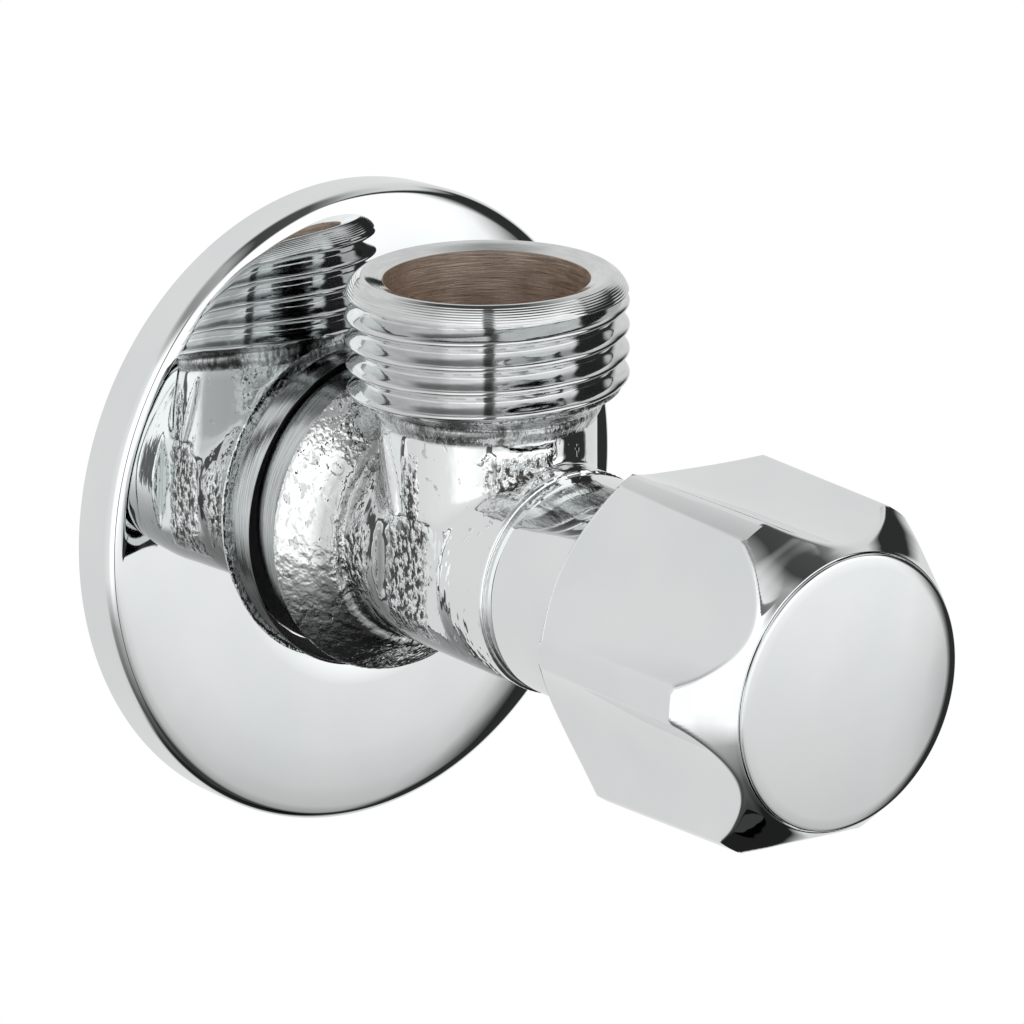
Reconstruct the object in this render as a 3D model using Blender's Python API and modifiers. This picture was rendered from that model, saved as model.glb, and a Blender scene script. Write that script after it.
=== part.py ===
"""Angle stop valve: a wall valve with a side outlet, a wall plate and a hand knob.

World frame: the origin is on the valve axis in the wall plane, -Y points out of the wall to the
knob, +Z along the outlet. Pieces on the valve axis are drawn upright and laid along -Y, so their
local height is the distance out from the wall. Heights behind the wall plane are negative.
"""

from math import cos, pi, radians, sin

import bmesh
import bpy
from mathutils import Matrix, Vector

MM = 0.001
GAP = 0.3 * MM
RUNNING_GAP = 0.15 * MM
FINE_STEPS, STEPS, SMALL_STEPS = 64, 40, 24

# British standard pipe thread, half inch, on the inlet and on the outlet
THREAD_PITCH = 1.814 * MM
THREAD_CREST = 10.478 * MM
THREAD_ROOT = 9.316 * MM

# Valve body
INLET_END = -12.5 * MM
INLET_BORE = 5.0 * MM
COLLAR_RADIUS = 11.65 * MM
COLLAR_BACK, COLLAR_FRONT = 0.6 * MM, 8.2 * MM
STEP_HEIGHT = 11.9 * MM
BARREL_RADIUS = 8.45 * MM
SEAM_HEIGHT = 29.9 * MM
NECK_RADIUS = 8.3 * MM
NECK_END = 43.4 * MM
CHAMBER_RADIUS = 6.4 * MM
CHAMBER_FLOOR = 9.2 * MM
SEAT_HEIGHT = 10.0 * MM
SEAT_INNER, SEAT_OUTER = 4.6 * MM, 5.5 * MM
FLAT_DISTANCE = 7.3 * MM
FLAT_NEAR, FLAT_FAR = 16.2 * MM, 23.5 * MM

# Outlet, standing on the valve axis
OUTLET_OFFSET = 18.6 * MM
OUTLET_TOP = 21.4 * MM
OUTLET_BORE = 7.45 * MM
OUTLET_NECK = 8.07 * MM
OUTLET_PASSAGE = 6.2 * MM
FIRST_CREST = 19.2 * MM
OUTLET_THREADS = 4

# Wall plate
PLATE_RADIUS = 25.15 * MM
PLATE_FACE = 3.9 * MM
PLATE_HOLE = 12.3 * MM
PLATE_DROP = 0.45 * MM
PLATE_SHEET = 0.7 * MM

# Bonnet, which screws into the neck and carries the spindle
BONNET_FOOT = 25.2 * MM
BONNET_RADIUS = CHAMBER_RADIUS - RUNNING_GAP
GUIDE_RADIUS = 5.1 * MM
GUIDE_FLAT = 4.2 * MM
GUIDE_START, GUIDE_END = 34.5 * MM, 41.6 * MM
HEX_ACROSS_FLATS = 14.0 * MM
HEX_BASE, HEX_TOP = NECK_END + GAP, 46.2 * MM
BONNET_TOP = 48.0 * MM
STEM_BORE = 3.1 * MM
THRUST_FACE = 43.7 * MM

# Spindle
STEM_RADIUS = STEM_BORE - RUNNING_GAP
SPINDLE_TIP = 29.5 * MM
SPINDLE_THREAD = 2.6 * MM
SPINDLE_COLLAR = 4.0 * MM
SPLINE_START, SPINDLE_TOP = 49.7 * MM, 54.8 * MM
SPLINE_TEETH = 16
SPLINE_DEPTH = 0.35 * MM
SCREW_HOLE = 1.7 * MM

# Disc carrier and the washer that closes on the seat
CARRIER_FOOT = 12.9 * MM
CARRIER_TOP = 37.0 * MM
CARRIER_PLATE = 5.8 * MM
CARRIER_STEM = 3.7 * MM
CARRIER_GUIDE = GUIDE_RADIUS - RUNNING_GAP
WASHER_RADIUS = 5.7 * MM
WASHER_THICKNESS = 2.4 * MM

# Knob: a turned blank with six scallops, which leaves six narrow lands
LAND_RADIUS_BACK, LAND_RADIUS_FRONT = 13.45 * MM, 12.94 * MM
LAND_BACK, LAND_FRONT = 41.3 * MM, 54.6 * MM
FIRST_LAND = 55.2
SCALLOPS = 6
SCALLOP_RADIUS = 13.5 * MM
SCALLOP_BACK, SCALLOP_FRONT = 10.87 * MM, 10.47 * MM
KNOB_BACK = 37.8 * MM
KNOB_FRONT = 58.2 * MM
KNOB_CAVITY = 9.4 * MM
WEB_BACK, WEB_FRONT = 50.9 * MM, 53.0 * MM
CAP_RADIUS = 9.6 * MM
CAP_SEAT = 57.0 * MM
CAP_EDGE, CAP_CROWN = 58.5 * MM, 59.0 * MM
INSERT_HEX = 9.0 * MM

LAID = Matrix.Rotation(pi / 2, 4, "X")
COLOURS = {
    "chrome": ((0.80, 0.82, 0.82), 0.08, 1.0),
    "brass": ((0.62, 0.47, 0.24), 0.32, 1.0),
    "steel": ((0.56, 0.56, 0.55), 0.30, 1.0),
    "rubber": ((0.02, 0.02, 0.02), 0.60, 0.0),
    "ptfe": ((0.85, 0.85, 0.83), 0.45, 0.0),
    "plastic": ((0.75, 0.75, 0.72), 0.40, 0.0),
}


def clear_scene():
    for obj in list(bpy.data.objects):
        bpy.data.objects.remove(obj)


def new_collection(name):
    collection = bpy.data.collections.new(name)
    bpy.context.scene.collection.children.link(collection)
    return collection


def material_for(name, kind):
    colour, roughness, metallic = COLOURS[kind]
    material = bpy.data.materials.new(name)
    material.use_nodes = True
    shader = material.node_tree.nodes["Principled BSDF"]
    shader.inputs["Base Color"].default_value = (*colour, 1.0)
    shader.inputs["Roughness"].default_value = roughness
    shader.inputs["Metallic"].default_value = metallic
    material.diffuse_color = (*colour, 1.0)
    return material


def turned(name, outline, steps=STEPS, ring=False):
    """A solid turned about local Z. The outline's outer side runs from top to bottom."""
    mesh = bpy.data.meshes.new(name)
    points = [(radius, 0.0, height) for radius, height in outline]
    edges = [(index, index + 1) for index in range(len(points) - 1)]
    if ring:
        edges.append((len(points) - 1, 0))
    mesh.from_pydata(points, edges, [])
    obj = bpy.data.objects.new(name, mesh)
    screw = obj.modifiers.new("turn", "SCREW")
    screw.axis = "Z"
    screw.steps = screw.render_steps = steps
    screw.use_merge_vertices = True
    screw.merge_threshold = 0.000001
    cutters.objects.link(obj)
    return obj


def tube(name, inner, outer, low, high, steps=SMALL_STEPS):
    return turned(name, [(outer, high), (outer, low), (inner, low), (inner, high)], steps, ring=True)


def o_ring(name, centre_radius, cord_radius, height, steps=SMALL_STEPS):
    sides = 6
    angles = [-2 * pi * side / sides for side in range(sides)]
    outline = [(centre_radius + cord_radius * cos(a), height + cord_radius * sin(a)) for a in angles]
    return turned(name, outline, steps, ring=True)


def prism(name, radii, low, high, twist=0.0):
    """An upright prism whose corners are evenly spaced at the given radii."""
    mesh = bpy.data.meshes.new(name)
    shape = bmesh.new()
    angles = [2 * pi * index / len(radii) + twist for index in range(len(radii))]
    corners = [shape.verts.new((r * cos(a), r * sin(a), low)) for r, a in zip(radii, angles)]
    base = shape.faces.new(corners)
    base.normal_flip()
    raised = bmesh.ops.extrude_face_region(shape, geom=[base])["geom"]
    bmesh.ops.translate(
        shape,
        vec=(0, 0, high - low),
        verts=[item for item in raised if isinstance(item, bmesh.types.BMVert)],
    )
    bmesh.ops.recalc_face_normals(shape, faces=shape.faces)
    shape.to_mesh(mesh)
    shape.free()
    obj = bpy.data.objects.new(name, mesh)
    cutters.objects.link(obj)
    return obj


def hexagon(name, across_flats, low, high):
    return prism(name, [across_flats / 2 / cos(pi / 6)] * 6, low, high)


def box(name, low, high):
    mesh = bpy.data.meshes.new(name)
    shape = bmesh.new()
    bmesh.ops.create_cube(shape, size=1.0)
    low, high = Vector(low), Vector(high)
    bmesh.ops.scale(shape, vec=high - low, verts=shape.verts)
    bmesh.ops.translate(shape, vec=(low + high) / 2, verts=shape.verts)
    shape.to_mesh(mesh)
    shape.free()
    obj = bpy.data.objects.new(name, mesh)
    cutters.objects.link(obj)
    return obj


def combine(obj, operation, others):
    for other in others:
        boolean = obj.modifiers.new(operation.lower(), "BOOLEAN")
        boolean.operation = operation
        boolean.object = other
    return obj


def cut(obj, *others):
    return combine(obj, "DIFFERENCE", others)


def join(obj, *others):
    return combine(obj, "UNION", others)


def common(obj, *others):
    return combine(obj, "INTERSECT", others)


def part(obj, kind, placing=LAID, sharp_angle=radians(32)):
    """Turns a construction into a finished piece: one plain mesh in place, shaded smooth."""
    name = obj.name
    bpy.context.view_layer.update()
    mesh = bpy.data.meshes.new_from_object(obj.evaluated_get(bpy.context.evaluated_depsgraph_get()))
    obj.name = name + "_blank"
    mesh.name = name
    mesh.shade_smooth()
    mesh.set_sharp_from_angle(angle=sharp_angle)
    mesh.materials.clear()
    mesh.materials.append(material_for(name, kind))
    piece = bpy.data.objects.new(name, mesh)
    piece.matrix_world = placing
    pieces.objects.link(piece)
    return piece


def thread_outline(top_crest, count):
    """Crest and root rings down a thread, starting at the middle of its top crest."""
    land = 0.15 * THREAD_PITCH
    outline = []
    for turn in range(count):
        crest = top_crest - turn * THREAD_PITCH
        outline += [(THREAD_CREST, crest + land), (THREAD_CREST, crest - land)]
        outline.append((THREAD_ROOT, crest - THREAD_PITCH / 2))
    return outline


def body_barrel():
    inlet_threads = 6
    first_inlet_crest = INLET_END + inlet_threads * THREAD_PITCH
    outline = [
        (0, NECK_END),
        (NECK_RADIUS - 0.3 * MM, NECK_END),
        (NECK_RADIUS, NECK_END - 0.3 * MM),
        (NECK_RADIUS, SEAM_HEIGHT + 0.3 * MM),
        (NECK_RADIUS - 0.25 * MM, SEAM_HEIGHT),
        (BARREL_RADIUS, SEAM_HEIGHT - 0.4 * MM),
        (BARREL_RADIUS, STEP_HEIGHT + 0.3 * MM),
        (BARREL_RADIUS + 0.4 * MM, STEP_HEIGHT),
        (COLLAR_RADIUS - 0.9 * MM, STEP_HEIGHT - 0.4 * MM),
        (COLLAR_RADIUS - 0.35 * MM, COLLAR_FRONT + 0.3 * MM),
        (COLLAR_RADIUS, COLLAR_FRONT),
        (COLLAR_RADIUS, COLLAR_BACK),
        (THREAD_ROOT, COLLAR_BACK),
        (THREAD_ROOT, first_inlet_crest + THREAD_PITCH / 2),
    ]
    outline += thread_outline(first_inlet_crest, inlet_threads)
    outline += [(THREAD_ROOT - 0.3 * MM, INLET_END), (0, INLET_END)]
    return turned("valve_body", outline)


def outlet_stub():
    outline = [
        (0, OUTLET_TOP),
        (8.9 * MM, OUTLET_TOP),
        (9.3 * MM, OUTLET_TOP - 0.2 * MM),
        (THREAD_CREST - 0.3 * MM, FIRST_CREST + 0.8 * MM),
    ]
    outline += thread_outline(FIRST_CREST, OUTLET_THREADS)[:-1]
    flare = FIRST_CREST - OUTLET_THREADS * THREAD_PITCH
    outline += [
        (THREAD_CREST - 0.2 * MM, flare + 1.0 * MM),
        (9.2 * MM, flare),
        (8.4 * MM, flare - 0.7 * MM),
        (OUTLET_NECK, flare - 1.4 * MM),
        (OUTLET_NECK, 0),
        (0, 0),
    ]
    return turned("outlet_stub", outline)


def valve_bore():
    return turned("valve_bore", [
        (0, NECK_END + MM),
        (CHAMBER_RADIUS, NECK_END + MM),
        (CHAMBER_RADIUS, CHAMBER_FLOOR),
        (SEAT_OUTER, CHAMBER_FLOOR),
        (SEAT_OUTER, SEAT_HEIGHT),
        (SEAT_INNER, SEAT_HEIGHT),
        (SEAT_INNER, SEAT_HEIGHT - 3.0 * MM),
        (INLET_BORE, SEAT_HEIGHT - 3.5 * MM),
        (INLET_BORE, INLET_END - MM),
        (0, INLET_END - MM),
    ])


def outlet_bore():
    return turned("outlet_bore", [
        (0, OUTLET_TOP + 0.2 * MM),
        (OUTLET_BORE + 0.63 * MM, OUTLET_TOP + 0.2 * MM),
        (OUTLET_BORE, OUTLET_TOP - 0.5 * MM),
        (OUTLET_BORE, 13.5 * MM),
        (OUTLET_PASSAGE, 12.7 * MM),
        (OUTLET_PASSAGE, 0),
        (0, 0),
    ])


def make_body():
    """One forging with machined ends. Its outlet parts are turned upright on the outlet axis."""
    body = body_barrel()
    outlet_axis = LAID.inverted() @ Matrix.Translation((0, -OUTLET_OFFSET, 0))
    stub, bore = outlet_stub(), outlet_bore()
    stub.matrix_world = bore.matrix_world = outlet_axis
    join(body, stub)
    cut(body, valve_bore(), bore)
    for side in (-1, 1):
        near, far = sorted((side * FLAT_DISTANCE, side * (BARREL_RADIUS + MM)))
        half_width = BARREL_RADIUS / 2
        cut(body, box("wrench_flat", (near, -half_width, FLAT_NEAR), (far, half_width, FLAT_FAR)))
    part(body, "chrome")


def make_wall_plate():
    """A shallow cup of sheet metal, hanging a little low on the body's collar."""
    corner = [(PLATE_RADIUS - 2.6 * MM, 0.1 * MM), (PLATE_RADIUS - 1.3 * MM, 0.4 * MM),
              (PLATE_RADIUS - 0.4 * MM, 1.05 * MM), (PLATE_RADIUS, 1.9 * MM)]
    inner = PLATE_RADIUS - PLATE_SHEET
    back = PLATE_FACE - PLATE_SHEET
    outline = [(PLATE_HOLE, PLATE_FACE)]
    outline += [(radius, PLATE_FACE - drop) for radius, drop in corner]
    outline += [(PLATE_RADIUS, 0), (inner, 0), (inner, back - 1.2 * MM)]
    outline += [(inner - 1.9 * MM, back - 0.1 * MM), (PLATE_HOLE, back)]
    hung = Matrix.Translation((0, 0, -PLATE_DROP)) @ LAID
    part(turned("wall_rosette", outline, FINE_STEPS, ring=True), "chrome", hung)


def make_grip_ring():
    """A rubber ring behind the plate that grips the body's collar."""
    front = PLATE_FACE - PLATE_SHEET - GAP
    part(tube("rosette_grip_ring", COLLAR_RADIUS + 0.12 * MM, PLATE_HOLE + 1.7 * MM,
              front - 1.3 * MM, front, STEPS), "rubber")


def make_inlet_seal():
    seal = tube("inlet_seal_ring", THREAD_ROOT + GAP, COLLAR_RADIUS - 0.4 * MM,
                COLLAR_BACK - 1.3 * MM, COLLAR_BACK - GAP)
    part(seal, "ptfe")


def make_bonnet():
    groove = (41.2 * MM, 42.6 * MM)
    bonnet = turned("bonnet", [
        (0, BONNET_TOP),
        (4.7 * MM, BONNET_TOP),
        (5.0 * MM, BONNET_TOP - 0.3 * MM),
        (5.0 * MM, HEX_BASE + MM),
        (BONNET_RADIUS, HEX_BASE + MM),
        (BONNET_RADIUS, groove[1]),
        (5.2 * MM, groove[1]),
        (5.2 * MM, groove[0]),
        (BONNET_RADIUS, groove[0]),
        (BONNET_RADIUS, BONNET_FOOT),
        (0, BONNET_FOOT),
    ], SMALL_STEPS)
    join(bonnet, hexagon("bonnet_hex", HEX_ACROSS_FLATS, HEX_BASE, HEX_TOP))
    guide = turned("guide_bore", [(0, GUIDE_END), (GUIDE_RADIUS, GUIDE_END),
                                  (GUIDE_RADIUS, GUIDE_START - MM), (0, GUIDE_START - MM)], SMALL_STEPS)
    reach = 2 * GUIDE_RADIUS
    common(guide, box("guide_flats", (-GUIDE_FLAT, -reach, GUIDE_START - 2 * MM),
                      (GUIDE_FLAT, reach, GUIDE_END + MM)))
    cut(bonnet, guide, turned("bonnet_bore", [
        (0, BONNET_TOP + MM),
        (STEM_BORE, BONNET_TOP + MM),
        (STEM_BORE, THRUST_FACE),
        (GUIDE_FLAT, THRUST_FACE),
        (GUIDE_FLAT, GUIDE_START),
        (GUIDE_RADIUS, GUIDE_START),
        (GUIDE_RADIUS, BONNET_FOOT - MM),
        (0, BONNET_FOOT - MM),
    ], SMALL_STEPS))
    part(bonnet, "brass")
    part(o_ring("bonnet_oring", 5.78 * MM, 0.5 * MM, sum(groove) / 2), "rubber")


def make_spindle():
    seal_heights = (45.0 * MM, 46.9 * MM)
    collar_top = THRUST_FACE - 0.6 * MM
    groove_floor = STEM_RADIUS - 0.75 * MM
    clip_low, clip_high = BONNET_TOP + 0.6 * MM, BONNET_TOP + 1.4 * MM
    outline = [(0, SPLINE_START), (STEM_RADIUS, SPLINE_START)]
    for middle, half in ((clip_low + 0.4 * MM, 0.4 * MM), (seal_heights[1], 0.55 * MM),
                         (seal_heights[0], 0.55 * MM)):
        outline += [(STEM_RADIUS, middle + half), (groove_floor, middle + half),
                    (groove_floor, middle - half), (STEM_RADIUS, middle - half)]
    outline += [
        (STEM_RADIUS, collar_top),
        (SPINDLE_COLLAR, collar_top),
        (SPINDLE_COLLAR, GUIDE_END + 0.2 * MM),
        (SPINDLE_THREAD, GUIDE_END + 0.2 * MM),
        (SPINDLE_THREAD, SPINDLE_TIP + 0.5 * MM),
        (SPINDLE_THREAD - 0.5 * MM, SPINDLE_TIP),
        (0, SPINDLE_TIP),
    ]
    spindle = turned("spindle", outline, SMALL_STEPS)
    tip, root = STEM_RADIUS - 0.05 * MM, STEM_RADIUS - SPLINE_DEPTH
    join(spindle, prism("spline", [tip, root] * SPLINE_TEETH, SPLINE_START - 0.2 * MM, SPINDLE_TOP))
    cut(spindle, prism("screw_hole", [SCREW_HOLE] * 16, SPINDLE_TOP - 5.5 * MM, SPINDLE_TOP + MM))
    part(spindle, "brass")
    part(tube("thrust_washer", STEM_BORE, SPINDLE_COLLAR, collar_top + 0.1 * MM, THRUST_FACE - 0.1 * MM),
         "ptfe")
    for name, height in zip(("spindle_oring_lower", "spindle_oring_upper"), seal_heights):
        part(o_ring(name, (groove_floor + STEM_BORE) / 2, 0.38 * MM, height, 24), "rubber")
    clip = tube("retaining_ring", groove_floor + 0.1 * MM, 4.3 * MM, clip_low + 0.1 * MM,
                clip_high - 0.1 * MM)
    mouth = 1.2 * MM
    part(cut(clip, box("clip_mouth", (-mouth, 0, clip_low - MM), (mouth, 6 * MM, clip_high + MM))),
         "steel")


def make_disc():
    seal_height = 27.0 * MM
    groove = 4.1 * MM
    carrier = turned("disc_carrier", [
        (0, CARRIER_TOP),
        (CARRIER_GUIDE, CARRIER_TOP),
        (CARRIER_GUIDE, seal_height + 0.7 * MM),
        (groove, seal_height + 0.7 * MM),
        (groove, seal_height - 0.7 * MM),
        (CARRIER_GUIDE, seal_height - 0.7 * MM),
        (CARRIER_GUIDE, seal_height - 1.7 * MM),
        (CARRIER_STEM, seal_height - 2.9 * MM),
        (CARRIER_STEM, CARRIER_FOOT + 1.8 * MM),
        (CARRIER_PLATE, CARRIER_FOOT + 1.2 * MM),
        (CARRIER_PLATE, CARRIER_FOOT),
        (0, CARRIER_FOOT),
    ], SMALL_STEPS)
    flat = GUIDE_FLAT - RUNNING_GAP
    reach = 2 * GUIDE_RADIUS
    for side in (-1, 1):
        near, far = sorted((side * flat, side * reach))
        cut(carrier, box("carrier_flat", (near, -reach, seal_height + 1.9 * MM),
                         (far, reach, CARRIER_TOP + MM)))
    cut(carrier,
        prism("nut_thread", [SPINDLE_THREAD + 0.2 * MM] * SMALL_STEPS, 24.0 * MM, CARRIER_TOP + MM),
        prism("disc_screw_hole", [1.7 * MM] * 16, CARRIER_FOOT - MM, CARRIER_FOOT + 5.0 * MM))
    part(carrier, "brass")
    part(o_ring("carrier_oring", (groove + GUIDE_RADIUS) / 2, 0.42 * MM, seal_height), "rubber")
    washer_back = CARRIER_FOOT - 0.2 * MM - WASHER_THICKNESS
    part(tube("seat_washer", 1.8 * MM, WASHER_RADIUS, washer_back, CARRIER_FOOT - 0.2 * MM), "rubber")
    head_top = washer_back - 0.2 * MM
    plate_low = head_top - 0.6 * MM
    part(tube("washer_plate", 1.8 * MM, 3.6 * MM, plate_low, head_top), "steel")
    screw = turned("washer_screw", [
        (0, CARRIER_FOOT + 4.2 * MM),
        (1.5 * MM, CARRIER_FOOT + 4.2 * MM),
        (1.5 * MM, plate_low - 0.15 * MM),
        (2.9 * MM, plate_low - 0.15 * MM),
        (2.6 * MM, plate_low - 1.6 * MM),
        (0, plate_low - 1.6 * MM),
    ], 24)
    slot = 0.4 * MM
    part(cut(screw, box("screw_slot", (-slot, -4 * MM, plate_low - 3 * MM),
                        (slot, 4 * MM, plate_low - 0.9 * MM))), "steel")


def scallop_cutter(index):
    """A cylinder beside the knob, leaning so that the scallop is deeper at the front."""
    turn = radians(FIRST_LAND + 360 / SCALLOPS * (index + 0.5))
    low, high = KNOB_BACK - 4 * MM, KNOB_FRONT + 4 * MM
    cutter = turned("scallop", [(0, high), (SCALLOP_RADIUS, high), (SCALLOP_RADIUS, low), (0, low)],
                    FINE_STEPS)
    slope = (SCALLOP_FRONT - SCALLOP_BACK) / (LAND_FRONT - LAND_BACK)
    distance = SCALLOP_BACK + SCALLOP_RADIUS - slope * LAND_BACK
    lean = Matrix.Identity(4)
    lean[0][2] = slope
    cutter.matrix_world = Matrix.Rotation(turn, 4, "Z") @ Matrix.Translation((distance, 0, 0)) @ lean
    return cutter


def make_knob():
    opening = CAP_RADIUS + 0.25 * MM
    shell = turned("knob_shell", [
        (0, KNOB_FRONT),
        (opening + 0.15 * MM, KNOB_FRONT),
        (10.8 * MM, 57.1 * MM),
        (12.0 * MM, 55.85 * MM),
        (LAND_RADIUS_FRONT, LAND_FRONT),
        (LAND_RADIUS_BACK, LAND_BACK),
        (KNOB_CAVITY + 0.75 * MM, KNOB_BACK),
        (0, KNOB_BACK),
    ], FINE_STEPS)
    cut(shell, *[scallop_cutter(index) for index in range(SCALLOPS)])
    cut(shell,
        turned("knob_cavity", [
            (0, WEB_BACK),
            (KNOB_CAVITY - 0.6 * MM, WEB_BACK),
            (KNOB_CAVITY, WEB_BACK - 0.6 * MM),
            (KNOB_CAVITY, KNOB_BACK - MM),
            (0, KNOB_BACK - MM),
        ]),
        turned("knob_mouth", [
            (0, KNOB_FRONT + MM),
            (opening, KNOB_FRONT + MM),
            (opening, CAP_SEAT),
            (CAP_RADIUS - 1.1 * MM, CAP_SEAT),
            (CAP_RADIUS - 1.1 * MM, WEB_FRONT),
            (0, WEB_FRONT),
        ]),
        hexagon("insert_hole", INSERT_HEX + 2 * RUNNING_GAP, WEB_BACK - MM, WEB_FRONT + MM))
    part(shell, "chrome")


def make_knob_insert():
    insert = hexagon("knob_insert", INSERT_HEX, SPLINE_START + 0.5 * MM, SPINDLE_TOP + 0.3 * MM)
    flange_low = SPLINE_START + 0.1 * MM
    join(insert, prism("insert_flange", [7.4 * MM] * SMALL_STEPS, flange_low, WEB_BACK - GAP))
    tip, root = STEM_RADIUS + RUNNING_GAP, STEM_RADIUS - SPLINE_DEPTH + 0.2 * MM
    cut(insert, prism("spline_bore", [tip, root] * SPLINE_TEETH, flange_low - MM, SPINDLE_TOP + MM))
    part(insert, "plastic")


def make_knob_screw():
    head_low = SPINDLE_TOP + 0.5 * MM
    head_top = head_low + 1.6 * MM
    screw = turned("knob_screw", [
        (0, head_top),
        (3.0 * MM, head_top),
        (3.5 * MM, head_top - 0.5 * MM),
        (3.5 * MM, head_low),
        (1.5 * MM, head_low),
        (1.5 * MM, SPINDLE_TOP - 4.8 * MM),
        (0, SPINDLE_TOP - 4.8 * MM),
    ], 24)
    arm, reach, depth = 0.35 * MM, 1.7 * MM, 1.1 * MM
    for x, y in ((arm, reach), (reach, arm)):
        cut(screw, box("cross_recess", (-x, -y, head_top - depth), (x, y, head_top + MM)))
    part(screw, "steel")


def make_knob_cap():
    crown = [(CAP_RADIUS * step / 5, CAP_CROWN - (CAP_CROWN - CAP_EDGE) * (step / 5) ** 2)
             for step in range(1, 5)]
    clip_outer, clip_inner = CAP_RADIUS - 1.35 * MM, CAP_RADIUS - 2.2 * MM
    under = CAP_SEAT + 0.2 * MM
    cap = turned("knob_cap", [(0, CAP_CROWN), *crown,
                              (CAP_RADIUS - 0.15 * MM, CAP_EDGE),
                              (CAP_RADIUS, CAP_EDGE - 0.2 * MM),
                              (CAP_RADIUS, under),
                              (clip_outer, under),
                              (clip_outer, under - 1.6 * MM),
                              (clip_inner, under - 1.6 * MM),
                              (clip_inner, CAP_EDGE - 0.5 * MM),
                              (0, CAP_EDGE - 0.5 * MM)])
    part(cap, "chrome")


clear_scene()
pieces = new_collection("angle_stop_valve")
cutters = new_collection("cutters")
make_body()
make_wall_plate()
make_grip_ring()
make_inlet_seal()
make_bonnet()
make_spindle()
make_disc()
make_knob()
make_knob_insert()
make_knob_screw()
make_knob_cap()
for helper in cutters.objects:
    helper.hide_render = True
    helper.display_type = "WIRE"
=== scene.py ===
"""Looks of the angle stop valve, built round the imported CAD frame.

World frame, in metres: the origin is on the valve axis in the wall plane, -Y points out of the wall
to the knob and +Z along the outlet. A height along the valve axis is the distance out from the wall.
"""

from math import cos, pi, radians, sin

import bmesh
import bpy
import numpy as np
from mathutils import Matrix, Vector, noise


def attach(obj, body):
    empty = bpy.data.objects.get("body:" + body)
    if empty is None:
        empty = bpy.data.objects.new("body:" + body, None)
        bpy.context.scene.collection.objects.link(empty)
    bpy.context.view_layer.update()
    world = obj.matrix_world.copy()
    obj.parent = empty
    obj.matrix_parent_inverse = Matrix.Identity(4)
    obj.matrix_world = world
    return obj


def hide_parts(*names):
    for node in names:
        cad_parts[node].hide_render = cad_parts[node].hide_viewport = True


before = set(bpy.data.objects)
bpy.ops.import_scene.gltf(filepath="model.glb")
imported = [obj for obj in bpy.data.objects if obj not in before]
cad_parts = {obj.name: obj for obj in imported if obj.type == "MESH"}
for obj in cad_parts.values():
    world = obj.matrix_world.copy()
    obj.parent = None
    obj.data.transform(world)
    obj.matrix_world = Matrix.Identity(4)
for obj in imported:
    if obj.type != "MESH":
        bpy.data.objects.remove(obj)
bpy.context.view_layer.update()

MM = 0.001
# How a lathe's own Z is laid: out of the wall along the valve axis, or upright
LAID = np.array(Matrix.Rotation(pi / 2, 3, "X"))
UPRIGHT = np.eye(3)

# Body: radii, and heights along the valve axis
PITCH, CREST = 1.814 * MM, 10.478 * MM
COLLAR_RADIUS, COLLAR_BACK, COLLAR_FRONT = 11.65 * MM, 0.6 * MM, 9.0 * MM
BARREL_RADIUS, SEAM_HEIGHT, NECK_RADIUS, NECK_END = 8.45 * MM, 28.6 * MM, 8.3 * MM, 43.4 * MM
INLET_END, INLET_BORE = -12.5 * MM, 5.0 * MM
CHAMBER_RADIUS, CHAMBER_FLOOR = 6.4 * MM, 9.2 * MM
SEAT_HEIGHT, SEAT_INNER, SEAT_OUTER = 10.0 * MM, 4.6 * MM, 5.5 * MM
FLAT_DISTANCE, FLAT_NEAR, FLAT_FAR, FLAT_HALF_WIDTH = 7.7 * MM, 15.7 * MM, 23.2 * MM, 4.2 * MM

# Outlet: heights are above the valve axis
OUTLET_OFFSET, OUTLET_NECK, OUTLET_PASSAGE = 18.6 * MM, 8.07 * MM, 6.2 * MM
OUTLET_BORE, OUTLET_FOOT, FILED_FROM = 7.62 * MM, 12.7 * MM, 10.45 * MM
THREAD_START, THREAD_END, FIRST_CREST = 12.9 * MM, 19.9 * MM, 19.213 * MM
THREAD_DEPTH, INLET_THREAD_DEPTH = 1.12 * MM, 1.0 * MM
RIM_RADIUS, RIM_EDGE, BORE_EDGE = 9.2 * MM, 21.37 * MM, 20.92 * MM

# Wall plate: its drop and side step are offsets, its turn and lean are degrees
PLATE_RADIUS, PLATE_FACE, PLATE_HOLE, PLATE_SHEET = 25.1 * MM, 4.3 * MM, 12.3 * MM, 0.7 * MM
PLATE_DROP, PLATE_SIDE, PLATE_TURN, PLATE_LEAN = 0.45 * MM, -0.1 * MM, 3.15, -0.75

# Knob: six concave sides between narrow lands, the first of them at FIRST_LAND degrees
KNOB_BACK, KNOB_FRONT, KNOB_CAVITY = 37.8 * MM, 58.2 * MM, 9.4 * MM
LAND_BACK, LAND_FRONT = 41.3 * MM, 54.6 * MM
LAND_RADIUS_BACK, LAND_RADIUS_FRONT = 13.45 * MM, 12.94 * MM
FIRST_LAND = 55.2
KNOB_SECTOR = pi / 3
CAP_RADIUS, CAP_SEAT, CAP_EDGE, CAP_CORNER = 9.8 * MM, 57.0 * MM, 58.5 * MM, 0.14 * MM

CAMERA_AZIMUTH, CAMERA_ELEVATION, CAMERA_ROLL = -38.2, 18.22, -0.416
CAMERA_PLACE = Vector((-191.22, -264.39, 105.38)) * MM
CAMERA_LENS, CAMERA_SENSOR = 155.0, 36.0
FLOOR_HEIGHT, FLOOR_SIZE = -0.09, 3.0

# Steps of the forging's mesh: the short one, for renders, is the one used; the long one is not used
NET_STEP, QUICK_NET_STEP = 0.22 * MM, 0.5 * MM


# ---------------------------------------------------------------- meshes

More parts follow.
